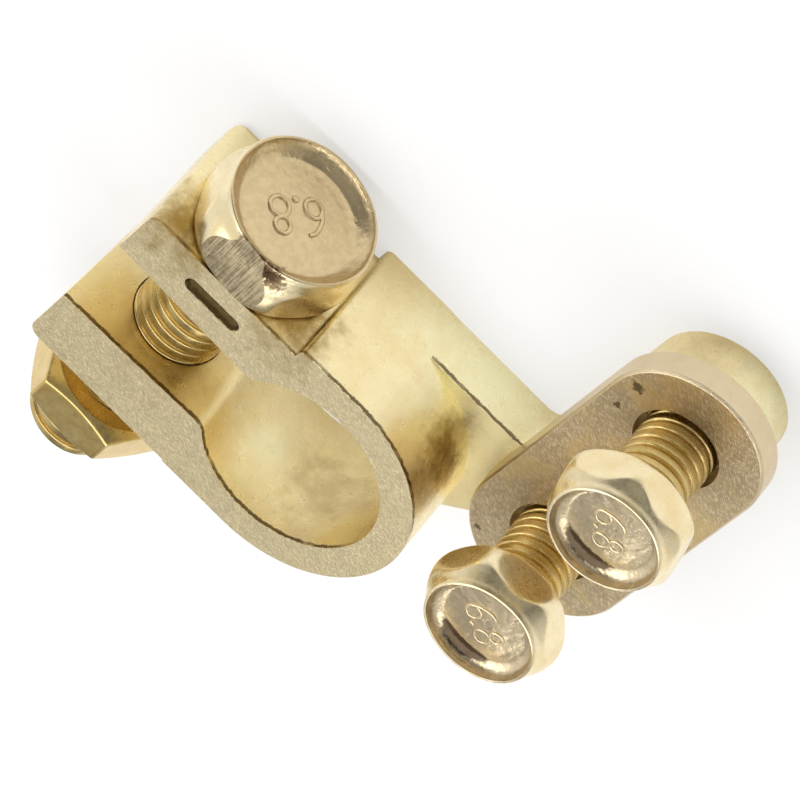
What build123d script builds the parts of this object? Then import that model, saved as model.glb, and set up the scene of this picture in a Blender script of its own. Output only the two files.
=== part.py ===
"""Battery terminal clamp, negative pole, with a two-screw cable saddle. Millimetres, +Z up.

The origin is on the battery post's axis, in the plane of the underside. The slot between the ears runs
along -X, the arm to the cable end along +X, and the clamp bolt along Y with its head on the +Y side.
"""
from build123d import *
import math
import os

# ---- post bore: a tapered seat that opens downwards, with a short straight land at the top ----
BODY_HEIGHT = 16.4
BORE_RADIUS = 9.8          # at the land
LAND_LENGTH = 2.0
POST_TAPER = 9.0           # the bore widens by 1 on the diameter in this length
RING_WALL = 3.5            # at the land

# ---- ears ----
EAR_REACH = 26.3           # from the post's axis to the ends of the ears
HEAD_EAR_FACE = 12.0       # outer face of the ear under the bolt's head, from the slot's line
NUT_EAR_FACE = 13.1        # outer face of the ear beside the nut
SLOT_MOUTH = 11.2          # slot width at the ear ends
SLOT_ROOT = 10.2           # slot width where it meets the bore
SLOT_OFFSET = -0.2         # the slot's middle, off the post's axis
SLOT_LIP_RADIUS = 2.0      # rounding where the slot runs into the bore
EAR_CORNER_RADIUS = 1.3
EAR_HEEL_RADIUS = 1.2      # rounding under the ear ends
NUT_EAR_LEAN = 3.5         # degrees the nut-side ear's end leans back towards the underside
PAD_START = 7.7            # the thick flank beside the head's seat begins this far from the axis
PAD_CORNER_RADIUS = 0.7
NECK_START = 8.2           # the nut-side ear thins by a step this far from the axis

# ---- polarity mark: one bar sunk in the top of the head-side ear ----
MARK_LENGTH = 6.8
MARK_WIDTH = 1.7
MARK_DEPTH = 0.6
MARK_DRAFT = 25.0          # its walls lean out this many degrees
MARK_MIDDLE = (-16.4, 8.8)

# ---- clamp bolt, thin nut ----
BOLT_FROM_AXIS = 16.6      # the bolt crosses the slot this far from the post's axis
BOLT_BELOW_TOP = 7.7       # and this far under the top face
BOLT_RADIUS = 4.9          # over the thread's crests
BOLT_LENGTH = 40.0         # under the head
BOLT_TIP = 0.9
BOLT_ACROSS_FLATS = 16.0
BOLT_HEAD_HEIGHT = 6.9
BOLT_CORNER_RADIUS = 8.65  # the hexagon's corners are rolled down to this
BOLT_RIM_RADIUS = 7.85
BOLT_DISH_RADIUS = 6.2
BOLT_DISH_DEPTH = 1.5
BOLT_TURN = -10.0          # degrees from +Z to the nearest flat of the head
BOLT_HOLE_CLEARANCE = 0.1  # between shank and ear, all round
NUT_ACROSS_FLATS = 15.0
NUT_HEIGHT = 5.0
NUT_CHAMFER = 0.55
NUT_BACK_OFF = 3.7         # the nut stands this far from its ear
NUT_TURN = 3.0
NUT_CLEARANCE = 0.08       # between nut and bolt, all round

# ---- arm and cable base ----
ARM_HEIGHT = 5.9
ARM_FLANK_FROM_AXIS = 13.2  # the arm's straight side, across the slot's line
BASE_FROM_AXIS = 22.45     # middle of the cable base, along the arm
BASE_RADIUS = 7.05         # its rounded ends and half its width
ARM_ROOT = (12.0, -2.9)    # the arm's other side runs from here in the ring
ARM_TIP = (20.0, 5.9)      # to here in the base's near end
WEB_RADIUS = 1.8           # hollow corners of arm, ring and base
TROUGH_RADIUS = 6.5        # the cable lies in this groove across the base
TROUGH_DEPTH = 1.2

# ---- saddle and its two screws ----
SCREW_NEAR = 10.0          # screw axes, across the slot's line
SCREW_FAR = 32.0
SADDLE_THICKNESS = 3.0
SADDLE_RADIUS = 8.6
SADDLE_END = 0.8           # the rounded ends are centred this far beyond the screws
SADDLE_EDGE = 0.25
SADDLE_HOLE_RADIUS = 4.5
SCREW_RADIUS = 3.95
SCREW_LENGTH = 16.0
SCREW_TIP = 0.8
SCREW_CLEARANCE = 0.05     # between screw and tapped hole, all round
SCREW_ACROSS_FLATS = 13.0
SCREW_HEAD_HEIGHT = 5.3
SCREW_CORNER_RADIUS = 7.2
SCREW_RIM_RADIUS = 5.8
SCREW_DISH_RADIUS = 4.4
SCREW_DISH_DEPTH = 1.5
NEAR_SCREW_BACK_OFF = 8.8  # heads stand this far above the saddle
FAR_SCREW_BACK_OFF = 8.6
NEAR_SCREW_TURN = 8.0      # degrees from +Y to the nearest flat, towards -X
FAR_SCREW_TURN = -13.0

# ---- what follows from the sizes above ----
RING_RADIUS = BORE_RADIUS + RING_WALL
LAND_FOOT = BODY_HEIGHT - LAND_LENGTH
MOUTH_RADIUS = BORE_RADIUS + LAND_FOOT / (2 * POST_TAPER)
SADDLE_TOP = ARM_HEIGHT + SADDLE_THICKNESS
BOLT_HOLE_RADIUS = BOLT_RADIUS + BOLT_HOLE_CLEARANCE
TAPPED_RADIUS = SCREW_RADIUS + SCREW_CLEARANCE
BOLT_HEIGHT = BODY_HEIGHT - BOLT_BELOW_TOP
FLANK = max(RING_RADIUS, HEAD_EAR_FACE)
NUT_FLANK = max(RING_RADIUS, NUT_EAR_FACE)


def hexagon(across_flats, turn):
    """A hexagon with one flat's middle `turn` degrees round from the sketch's own +Y."""
    return RegularPolygon(across_flats / math.sqrt(3), 6, rotation=turn)


def stadium(middle_x, near_y, far_y, radius):
    """Two half circles and the straight sides between them, long axis along Y."""
    middle = Pos(middle_x, (near_y + far_y) / 2)
    return middle * Rot(0, 0, 90) * SlotCenterToCenter(far_y - near_y, 2 * radius)


def hex_head(across_flats, height, corner, rim, dish, depth, turn):
    """A rolled bolt head on z = 0: a barrel takes off the hexagon's corners, and the top is dished."""
    flat = across_flats / 2
    with BuildSketch(Plane.XZ) as half:
        with BuildLine():
            Polyline(
                (0, 0),
                (flat, 0),
                (corner, 0.22 * height),
                (corner, 0.48 * height),
                (flat, 0.74 * height),
                (rim, height),
                (0, height),
                close=True,
            )
        make_face()
    envelope = revolve(half.sketch, Axis.Z)
    lip = (rim - dish) / 3
    hollow = Pos(0, 0, height - depth / 2) * Cone(dish, rim - lip, depth)
    return (extrude(hexagon(across_flats, turn), height) & envelope) - hollow


def shank(radius, length, tip):
    """A plain shank under z = 0, at its thread's outside radius, with a bevelled end."""
    body = Pos(0, 0, -length / 2) * Cylinder(radius, length)
    return chamfer(body.edges().sort_by(Axis.Z)[0], tip)


def body_plan():
    """Ring, ears and the thick flank beside the head's seat, seen from above."""
    ears = Polyline(
        (-EAR_REACH, HEAD_EAR_FACE),
        (-PAD_START, HEAD_EAR_FACE),
        (-PAD_START, FLANK),
        (0, FLANK),
        (0, -NUT_FLANK),
        (-NECK_START, -NUT_FLANK),
        (-NECK_START, -NUT_EAR_FACE),
        (-EAR_REACH, -NUT_EAR_FACE),
        close=True,
    )
    plan = make_face(ears) + Circle(RING_RADIUS)
    pad_corner = plan.vertices().filter_by_position(Axis.X, -PAD_START - 0.01, -PAD_START + 0.01)
    return fillet(pad_corner.sort_by(Axis.Y)[-1], PAD_CORNER_RADIUS)


def slot():
    """The gap between the ears, flaring towards its mouth, up to the middle of the bore."""
    mouth = SLOT_MOUTH / 2
    flare = (SLOT_MOUTH - SLOT_ROOT) / 2 / (EAR_REACH - BORE_RADIUS)
    inner = mouth - flare * EAR_REACH
    outer = mouth + flare
    gap = Polyline(
        (0, SLOT_OFFSET + inner),
        (0, SLOT_OFFSET - inner),
        (-EAR_REACH - 1, SLOT_OFFSET - outer),
        (-EAR_REACH - 1, SLOT_OFFSET + outer),
        close=True,
    )
    return extrude(make_face(gap), BODY_HEIGHT)


def shape_ear_ends(casting):
    """Lean the nut-side ear's end back, then round both ends' outer corners and their heels."""
    lean = BODY_HEIGHT * math.tan(math.radians(NUT_EAR_LEAN))
    wedge = Plane.XZ * Polyline(
        (-EAR_REACH - 1, BODY_HEIGHT),
        (-EAR_REACH, BODY_HEIGHT),
        (-EAR_REACH + lean, 0),
        (-EAR_REACH - 1, 0),
        close=True,
    )
    casting -= extrude(make_face(wedge), 2 * NUT_FLANK, dir=(0, -1, 0))
    outer = [
        e
        for e in casting.edges()
        if e.bounding_box().max.X < lean - EAR_REACH + 0.01
        and e.length > BODY_HEIGHT / 2
        and max(e.center().Y / HEAD_EAR_FACE, -e.center().Y / NUT_EAR_FACE) > 0.99
    ]
    casting = fillet(outer, EAR_CORNER_RADIUS)
    heels = [
        e
        for e in casting.edges()
        if e.bounding_box().max.X < lean - EAR_REACH + 0.01
        and e.bounding_box().max.Z < 0.01
        and e.geom_type == GeomType.LINE
    ]
    return fillet(heels, EAR_HEEL_RADIUS)


def post_seat():
    """The room for the post: a cone that opens downwards under a short straight land."""
    with BuildSketch(Plane.XZ) as half:
        with BuildLine():
            Polyline(
                (0, 0),
                (MOUTH_RADIUS, 0),
                (BORE_RADIUS, LAND_FOOT),
                (BORE_RADIUS, BODY_HEIGHT),
                (0, BODY_HEIGHT),
                close=True,
            )
        make_face()
    return revolve(half.sketch, Axis.Z)


def arm_plan():
    """The flat arm from the ring to the stadium-shaped cable base, with its hollow corners rounded."""
    arm = Polyline(
        (0, ARM_FLANK_FROM_AXIS),
        (BASE_FROM_AXIS, ARM_FLANK_FROM_AXIS),
        (BASE_FROM_AXIS, ARM_TIP[1]),
        ARM_TIP,
        ARM_ROOT,
        (0, ARM_ROOT[1]),
        close=True,
    )
    base = stadium(BASE_FROM_AXIS, SCREW_NEAR, SCREW_FAR, BASE_RADIUS)
    plan = make_face(arm) + base + Circle(RING_RADIUS)
    run = Vector(*ARM_TIP) - Vector(*ARM_ROOT)
    hollows = []
    for v in plan.vertices():
        off_web = abs(run.cross(Vector(v.X, v.Y) - Vector(*ARM_ROOT)).Z) / run.length
        at_flank = abs(v.Y - ARM_FLANK_FROM_AXIS) < 0.01 and v.X > RING_RADIUS
        if off_web < 0.01 or at_flank:
            hollows.append(v)
    return fillet(hollows, WEB_RADIUS)


def clamp_body():
    """The casting: ring, ears, flank, arm and tapped cable base in one piece."""
    ring = extrude(body_plan(), BODY_HEIGHT)
    foot = extrude(arm_plan(), ARM_HEIGHT)
    casting = ring + foot
    casting -= post_seat()
    casting -= slot()
    lips = [
        e
        for e in casting.edges().filter_by(GeomType.LINE).filter_by(Axis.Z)
        if abs(math.hypot(e.center().X, e.center().Y) - BORE_RADIUS) < 0.6 and e.center().X < 0
    ]
    if lips:
        casting = fillet(lips, SLOT_LIP_RADIUS)
    bolt_line = Pos(-BOLT_FROM_AXIS, 0, BOLT_HEIGHT) * Rot(90, 0, 0)
    casting -= bolt_line * Cylinder(BOLT_HOLE_RADIUS, 4 * NUT_FLANK)
    for y in (SCREW_NEAR, SCREW_FAR):
        casting -= Pos(BASE_FROM_AXIS, y, ARM_HEIGHT / 2) * Cylinder(TAPPED_RADIUS, ARM_HEIGHT)
    trough_y = (SCREW_NEAR + SCREW_FAR) / 2
    trough = Pos(BASE_FROM_AXIS, trough_y, ARM_HEIGHT - TROUGH_DEPTH + TROUGH_RADIUS)
    casting -= trough * Rot(0, 90, 0) * Cylinder(TROUGH_RADIUS, 4 * BASE_RADIUS)
    mark = extrude(SlotOverall(MARK_LENGTH, MARK_WIDTH), MARK_DEPTH, dir=(0, 0, -1), taper=MARK_DRAFT)
    casting -= Pos(*MARK_MIDDLE, BODY_HEIGHT) * mark
    return shape_ear_ends(casting)


def clamp_bolt():
    """Hexagon-head bolt across the slot. Its head is ground flush with the top of the body."""
    head = hex_head(
        BOLT_ACROSS_FLATS,
        BOLT_HEAD_HEIGHT,
        BOLT_CORNER_RADIUS,
        BOLT_RIM_RADIUS,
        BOLT_DISH_RADIUS,
        BOLT_DISH_DEPTH,
        BOLT_TURN,
    )
    bolt = head + shank(BOLT_RADIUS, BOLT_LENGTH, BOLT_TIP)
    bolt = Pos(-BOLT_FROM_AXIS, HEAD_EAR_FACE, BOLT_HEIGHT) * Rot(-90, 0, 0) * bolt
    over = Pos(-BOLT_FROM_AXIS, HEAD_EAR_FACE + BOLT_HEAD_HEIGHT / 2, 1.5 * BODY_HEIGHT)
    return bolt - over * Box(4 * BOLT_CORNER_RADIUS, 4 * BOLT_HEAD_HEIGHT, BODY_HEIGHT)


def clamp_nut():
    """Thin hexagon nut, backed off from its ear."""
    corner = NUT_ACROSS_FLATS / math.sqrt(3)
    face = corner - NUT_CHAMFER / math.tan(math.radians(30))
    with BuildSketch(Plane.XZ) as half:
        with BuildLine():
            Polyline(
                (0, 0),
                (face, 0),
                (corner, NUT_CHAMFER),
                (corner, NUT_HEIGHT - NUT_CHAMFER),
                (face, NUT_HEIGHT),
                (0, NUT_HEIGHT),
                close=True,
            )
        make_face()
    nut = extrude(hexagon(NUT_ACROSS_FLATS, NUT_TURN), NUT_HEIGHT) & revolve(half.sketch, Axis.Z)
    nut -= Pos(0, 0, NUT_HEIGHT / 2) * Cylinder(BOLT_RADIUS + NUT_CLEARANCE, NUT_HEIGHT)
    near_face = -NUT_EAR_FACE - NUT_BACK_OFF
    return Pos(-BOLT_FROM_AXIS, near_face, BOLT_HEIGHT) * Rot(90, 0, 0) * nut


def cable_saddle():
    """Flat plate with rounded ends that the two screws press onto the cable."""
    outline = stadium(BASE_FROM_AXIS, SCREW_NEAR - SADDLE_END, SCREW_FAR + SADDLE_END, SADDLE_RADIUS)
    plate = Pos(0, 0, ARM_HEIGHT) * extrude(outline, SADDLE_THICKNESS)
    plate = chamfer(plate.edges().group_by(Axis.Z)[-1], SADDLE_EDGE)
    for y in (SCREW_NEAR, SCREW_FAR):
        hole = Pos(BASE_FROM_AXIS, y, ARM_HEIGHT + SADDLE_THICKNESS / 2)
        plate -= hole * Cylinder(SADDLE_HOLE_RADIUS, SADDLE_THICKNESS)
    return plate


def cable_screw(y, back_off, turn):
    """Hexagon-head screw through the saddle into the base."""
    head = hex_head(
        SCREW_ACROSS_FLATS,
        SCREW_HEAD_HEIGHT,
        SCREW_CORNER_RADIUS,
        SCREW_RIM_RADIUS,
        SCREW_DISH_RADIUS,
        SCREW_DISH_DEPTH,
        turn,
    )
    screw = head + shank(SCREW_RADIUS, SCREW_LENGTH, SCREW_TIP)
    return Pos(BASE_FROM_AXIS, y, SADDLE_TOP + back_off) * screw


PARTS = {
    "clamp_body": clamp_body(),
    "clamp_bolt": clamp_bolt(),
    "clamp_nut": clamp_nut(),
    "cable_saddle": cable_saddle(),
    "cable_screw_near": cable_screw(SCREW_NEAR, NEAR_SCREW_BACK_OFF, NEAR_SCREW_TURN),
    "cable_screw_far": cable_screw(SCREW_FAR, FAR_SCREW_BACK_OFF, FAR_SCREW_TURN),
}

os.makedirs("parts", exist_ok=True)
for name, part in PARTS.items():
    export_step(part, f"parts/{name}.step")
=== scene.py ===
# %% [markdown]
# # Battery terminal clamp: the looks
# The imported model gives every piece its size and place. This script gives each piece the surface that the
# real one has: sawn and brushed tops, satin castings, rolled screw heads with dished faces, and threads.
# Everything is in metres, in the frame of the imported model: +Z up the battery post, +X towards the cable.

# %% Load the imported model
import math

import bmesh
import bpy
import numpy as np
from mathutils import Matrix, Vector


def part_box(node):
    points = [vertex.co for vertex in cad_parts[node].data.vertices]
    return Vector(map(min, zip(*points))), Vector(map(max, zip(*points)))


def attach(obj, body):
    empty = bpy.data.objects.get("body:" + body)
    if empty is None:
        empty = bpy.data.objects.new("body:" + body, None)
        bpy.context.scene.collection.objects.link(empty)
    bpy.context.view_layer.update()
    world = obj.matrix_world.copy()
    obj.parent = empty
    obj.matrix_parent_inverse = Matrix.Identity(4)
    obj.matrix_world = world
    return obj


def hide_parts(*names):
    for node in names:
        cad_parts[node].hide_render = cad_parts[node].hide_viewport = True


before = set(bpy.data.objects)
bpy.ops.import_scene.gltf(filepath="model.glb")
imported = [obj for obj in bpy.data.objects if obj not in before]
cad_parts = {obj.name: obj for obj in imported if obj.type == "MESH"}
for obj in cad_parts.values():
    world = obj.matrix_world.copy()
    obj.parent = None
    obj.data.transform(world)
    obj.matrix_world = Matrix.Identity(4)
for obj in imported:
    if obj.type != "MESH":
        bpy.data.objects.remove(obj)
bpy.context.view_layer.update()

print("nodes:", sorted(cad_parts))

# %% [markdown]
# ## Sizes
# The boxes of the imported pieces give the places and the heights. What a box doesn't show, such as a thread's
# pitch or the width across flats, is given later, in millimetres, times MM.

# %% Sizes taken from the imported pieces
MM = 0.001


def corners(name):
    """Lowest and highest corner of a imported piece, as two arrays."""
    low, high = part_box(name)
    return np.array(low), np.array(high)


bolt_low, bolt_high = corners("clamp_bolt")
nut_low, nut_high = corners("clamp_nut")
saddle_low, saddle_high = corners("cable_saddle")
TOP = corners("clamp_body")[1][2]
ARM_TOP = saddle_low[2]
BOLT_AXIS = ((nut_low[0] + nut_high[0]) / 2, (nut_low[2] + nut_high[2]) / 2)
print("top face at", round(TOP / MM, 2), "mm, arm's top at", round(ARM_TOP / MM, 2), "mm")
print("bolt axis x, z", np.round(np.array(BOLT_AXIS) / MM, 2))

# %% [markdown]
# ## Standing a piece in its place
# A screw is worked out standing on its own axis and is then carried to its place. The turn and the shift go
# into the points themselves, because a finished object has to sit at the origin, unturned.

# %% Placing helpers
ALONG_Z = np.eye(3)
ALONG_Y = np.array([[1, 0, 0], [0, 0, 1], [0, -1, 0]])         # local z becomes +Y, local y becomes -Z
ALONG_MINUS_Y = np.array([[1, 0, 0], [0, 0, -1], [0, 1, 0]])   # local z becomes -Y, local y becomes +Z


def carried(points, turn, place):
    """Points times a turning matrix, plus a shift."""
    return points @ np.array(turn).T + np.array(place)


def turned(radius, height, angle):
    """Points at (radius cos angle, radius sin angle, height) around the Z axis."""
    radius, height, angle = np.broadcast_arrays(radius, height, angle)
    return np.stack([radius * np.cos(angle), radius * np.sin(angle), height], axis=-1)


print("placing helpers ready")

# %% [markdown]
# ## From a grid of points to a mesh
# Most pieces here are surfaces of two parameters: a grid of points worked out as one array. Neighbours in
# the grid become quads. A row may close on itself, as it does around a screw, and a row whose points all
# meet on the axis closes the end: merging doubles turns its quads into triangles.

# %% Grid helpers
def grid_faces(rows, cols, close_rows):
    """Quads (i, j), (i, j+1), (i+1, j+1), (i+1, j). Columns always go round, rows only if asked."""
    i = np.arange(rows if close_rows else rows - 1)
    i, j = np.meshgrid(i, np.arange(cols), indexing="ij")
    i_next, j_next = (i + 1) % rows, (j + 1) % cols
    quads = [i * cols + j, i * cols + j_next, i_next * cols + j_next, i_next * cols + j]
    return np.stack(quads, axis=-1).reshape(-1, 4)


def tidy_mesh(mesh, crease):
    """Merges doubled points, turns the faces outwards and marks edges sharper than the crease angle."""
    work = bmesh.new()
    work.from_mesh(mesh)
    bmesh.ops.remove_doubles(work, verts=work.verts, dist=1e-7)
    bmesh.ops.recalc_face_normals(work, faces=work.faces)
    work.to_mesh(mesh)
    work.free()
    mesh.shade_smooth()
    mesh.set_sharp_from_angle(angle=math.radians(crease))


def surface(name, grids, crease, way, place, marks=None):
    """A closed object from grids of points, each with its close_rows flag, smooth up to the crease angle.

    Marks name values from 0 to 1 for the points, which a material reads to know a groove or a dish.
    """
    points, faces, start = [], [], 0
    for grid, close_rows in grids:
        rows, cols = grid.shape[:2]
        points.append(grid.reshape(-1, 3))
        faces.append(grid_faces(rows, cols, close_rows) + start)
        start += rows * cols
    points = carried(np.concatenate(points), way, place)
    mesh = bpy.data.meshes.new(name)
    mesh.from_pydata(points.tolist(), [], np.concatenate(faces).tolist())
    for mark, values in (marks or {}).items():
        attribute = mesh.attributes.new(mark, "FLOAT", "POINT")
        attribute.data.foreach_set("value", values.ravel().astype(np.float32))
    piece = bpy.data.objects.new(name, mesh)
    bpy.context.scene.collection.objects.link(piece)
    tidy_mesh(mesh, crease)
    return piece


print("grid helpers ready")

# %% [markdown]
# ## Curves for the screws
# A hexagon seen from its middle is a radius that changes with the angle. Where two shapes meet, as barrel
# and hexagon do, the smaller radius wins, and a soft minimum rounds the edge between them. Profiles are
# given by a few stations, as on a drawing, with a smooth curve through them.

# %% Curve helpers
def hexagon_radius(angle, across_flats, turn):
    """Half the width over the cosine of the angle from the nearest flat's middle."""
    off = (angle - turn + math.pi / 6) % (math.pi / 3) - math.pi / 6
    return across_flats / 2 / np.cos(off)


def soft_min(a, b, blend):
    """The smaller of a and b, rounded where they meet: (a + b - sqrt((a - b)^2 + blend^2)) / 2."""
    return (a + b - np.sqrt((a - b) ** 2 + blend**2)) / 2


def carried_on(points):
    """Points with one more at each end, as far out as the end's own step."""
    return np.concatenate([2 * points[:1] - points[1:2], points, 2 * points[-1:] - points[-2:-1]])


def smooth_through(stations, steps):
    """Curve through the stations, with a number of steps from each to the next.

    Between two stations runs a cubic. Its slope at a station is half the chord of that one's neighbours.
    """
    p = carried_on(np.array(stations, float))
    t = np.linspace(0, 1, steps, endpoint=False)[None, :, None]
    a, b, c, d = (p[k : len(p) - 3 + k][:, None, :] for k in range(4))
    cubic = 2 * b + (c - a) * t + (2 * a - 5 * b + 4 * c - d) * t**2 + (3 * b - a - 3 * c + d) * t**3
    return np.concatenate([(cubic / 2).reshape(-1, p.shape[1]), p[-2:-1]])


print("curve helpers ready")

# %% [markdown]
# ## Rolled hexagon heads
# The heads are cold formed. A barrel takes the hexagon's corners away, so that every flat ends in a rounded
# outline, and the top is a dish inside a narrow lip. One surface holds all of that. Along it runs a profile
# from the middle of the underside, out over the barrel and the lip, and down to the middle of the dish.
# Going round, the radius is the smaller of the profile's and the hexagon's. Forging leaves a slow wave in
# the lip and faint rings in the dish, so they are added to the radius and the height.

# %% Head helpers
HEAD_COLUMNS = 360
BARREL_STEPS = 7
DISH_STEPS = 8
CORNER_BLEND = 0.16 * MM
LIP_WAVE = 0.05 * MM
DISH_WAVE = 0.06 * MM
DENT_DEPTH = 0.03 * MM
RING_DEPTH = 0.010 * MM
RING_STEP = 0.95 * MM
HEAD_CREASE = 35


def head_grid(across_flats, outside, inside, turn, seed):
    """Grid of a rolled head: rows follow the profile, columns go round.

    Outside, radius = soft minimum of hexagon and barrel. Inside the lip's crest, it is the profile's own.
    """
    angle = np.linspace(0, 2 * math.pi, HEAD_COLUMNS, endpoint=False)[None, :]
    flats = hexagon_radius(angle, across_flats, turn)
    barrel = smooth_through(outside, BARREL_STEPS) * MM
    dish = smooth_through(inside, DISH_STEPS)[1:] * MM
    wave = np.sin(2 * angle + seed) + 0.7 * np.sin(3 * angle + 2 * seed)
    wave = wave + 0.35 * np.sin(7 * angle + 3 * seed)
    rise = np.clip(barrel[:, 1:] / barrel[-1, 1], 0, 1) ** 4
    side = soft_min(flats, barrel[:, :1] + LIP_WAVE * wave * rise, CORNER_BLEND)
    under = side[:1] * np.linspace(0, 1, 5)[:-1, None]
    share = dish[:, :1] / dish[0, 0]
    bowl = dish[:, :1] + DISH_WAVE * wave * share**3
    dent = DENT_DEPTH * np.sin(2 * angle + seed) * share * (1 - share)
    rings = RING_DEPTH * np.sin(dish[:, :1] * 2 * math.pi / RING_STEP) * np.clip(2 * share - 0.7, 0, 1)
    rows = [
        turned(under, 0.0, angle),
        turned(side, barrel[:, 1:], angle),
        turned(bowl, dish[:, 1:] + dent + rings, angle),
    ]
    return np.concatenate(rows)


def dish_marks(inside, grids):
    """1 on the points of a head's dish and of the numerals in it, 0 on the points of its outside."""
    dish_rows = len(smooth_through(inside, DISH_STEPS)) - 1
    head = np.zeros(grids[0][0].shape[:2])
    head[-dish_rows:] = 1
    figures = [np.ones(grid.shape[:2]).ravel() for grid, _ in grids[1:]]
    return np.concatenate([head.ravel()] + figures)


def corner_dirt_and_shade(grids, dish, reach, width):
    """Dirt and painted shade in the dish's corner on the -Y side: exp(-((r - reach) / width)^2) times the cube
    of -y / r.
    """
    points = np.concatenate([grid.reshape(-1, 3) for grid, _ in grids])
    radius = np.hypot(points[:, 0], points[:, 1])
    side = np.clip(-points[:, 1] / np.maximum(radius, 1e-6), 0, 1) ** 3
    return dish * side * np.exp(-(((radius - reach) / width) ** 2))


print("head helpers ready")

# %% [markdown]
# ## Raised numerals
# A strength class stands in the dish as two raised numerals with a point between them. Each stroke is a low
# half-round ridge carried along a flat path, and its foot follows the dish's own height.

# %% Numeral helpers
STROKE_WIDTH = 0.12
STROKE_HEIGHT = 0.05


def floor_of(inside):
    """Function that gives the dish's height at a radius, read from the inside profile."""
    dish = smooth_through(inside, DISH_STEPS)[::-1] * MM
    return lambda radius: np.interp(radius, dish[:, 0], dish[:, 1])


def oval(x, y, wide, high):
    """Ellipse around (x, y)."""
    t = np.linspace(0, 2 * math.pi, 40, endpoint=False)
    return np.stack([x + wide * np.cos(t), y + high * np.sin(t)], axis=1)


def ridge(path, closed, width, height, floor):
    """Half-round ridge along a path of (x, y) points: an ellipse across it, half of it under the floor.

    An open path's ends taper away by the root of 1 - run^16, with run from -1 to 1 along the path.
    """
    run = np.linspace(-1, 1, len(path))[:, None]
    if closed:
        before, after = np.roll(path, 1, axis=0), np.roll(path, -1, axis=0)
        taper = np.ones_like(run)
    else:
        longer = carried_on(path)
        before, after = longer[:-2], longer[2:]
        taper = np.sqrt(np.clip(1 - run**16, 0, 1))
    ahead = (after - before) / np.linalg.norm(after - before, axis=1, keepdims=True)
    aside = np.stack([-ahead[:, 1], ahead[:, 0]], axis=1)
    around = np.linspace(0, 2 * math.pi, 14, endpoint=False)[None, :]
    across = width / 2 * taper * np.cos(around)
    flat = path[:, None, :] + aside[:, None, :] * across[:, :, None]
    up = floor(np.linalg.norm(flat, axis=2)) + height * taper * np.sin(around)
    return np.concatenate([flat, up[:, :, None]], axis=2), closed


def six_point_eight(size, turn, floor):
    """Ridges of the figures 6 and 8 and a point, about size high, turned by an angle around the middle."""
    tail = smooth_through([(-0.20, 0.46), (-0.42, 0.36), (-0.60, 0.10), (-0.66, -0.20)], 8)
    strokes = [
        (oval(-0.44, -0.23, 0.22, 0.24), True),
        (tail, False),
        (oval(0.0, -0.42, 0.035, 0.035), True),
        (oval(0.44, -0.22, 0.24, 0.25), True),
        (oval(0.44, 0.25, 0.19, 0.20), True),
    ]
    spin = np.array([[math.cos(turn), math.sin(turn)], [-math.sin(turn), math.cos(turn)]])
    width, height = STROKE_WIDTH * size, STROKE_HEIGHT * size
    return [ridge(path @ spin * size, closed, width, height, floor) for path, closed in strokes]


print("numeral helpers ready")

# %% [markdown]
# ## Threads
# A rolled thread is a surface whose radius rises and falls with the phase z / pitch - angle / (2 pi). Lines
# of equal phase climb one pitch in each turn, which is a right-hand thread. A plain cylinder with a striped
# bump would be cheaper, but the crests show against the slot, so they are real here.

# %% Thread helper
ROWS_IN_A_PITCH = 20
THREAD_COLUMNS = 84
CREST_SHARE = 0.60
FLANK_SHARE = 0.34
CREST_ROUNDING = 0.04 * MM
THREAD_CREASE = 50


def thread_grid(crest, pitch, depth, tip, length, start):
    """Rod under z = 0: radius = crest - depth * groove, and no more than a cone at the tip allows.

    The groove is 0 on the crest and 1 at the root, with a smooth step down and up in each pitch.
    """
    height = np.linspace(0.5 * pitch, -length, int(length / pitch * ROWS_IN_A_PITCH))[:, None]
    angle = np.linspace(0, 2 * math.pi, THREAD_COLUMNS, endpoint=False)[None, :]
    phase = (height / pitch - angle / (2 * math.pi) + start) % 1.0
    off_crest = np.abs(2 * phase - 1)
    step = np.clip((off_crest - CREST_SHARE) / FLANK_SHARE, 0, 1)
    groove = step**2 * (3 - 2 * step)
    crown = CREST_ROUNDING * off_crest**2
    cone = crest - np.clip(tip - length - height, 0, tip)
    radius = np.minimum(crest - crown - depth * groove, cone)
    ends = [radius[:1] * 0, radius, radius[-1:] * 0.5, radius[-1:] * 0]
    levels = np.concatenate([height[:1], height, height[-1:], height[-1:]])
    grooves = np.concatenate([groove[:1], groove, groove[-1:] * 0, groove[-1:] * 0])
    return turned(np.concatenate(ends), levels, angle), grooves


print("thread helper ready")

# %% [markdown]
# ## The casting and the cable plate
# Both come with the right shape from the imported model: flat tops, upright walls, tapered bore. What they
# lack is a real edge. Sawing and brushing leaves an edge that is narrow but never perfectly sharp, and it
# catches the light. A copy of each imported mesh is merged, its flat triangles are joined into whole faces,
# and a Bevel modifier rounds every edge that turns by more than the given angle.

# %% Copies with rounded edges
ROUNDED_FROM = math.radians(28)
FLAT_UP_TO = math.radians(0.8)
CASTING_EDGE = 0.18 * MM
PLATE_EDGE = 0.08 * MM


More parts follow.
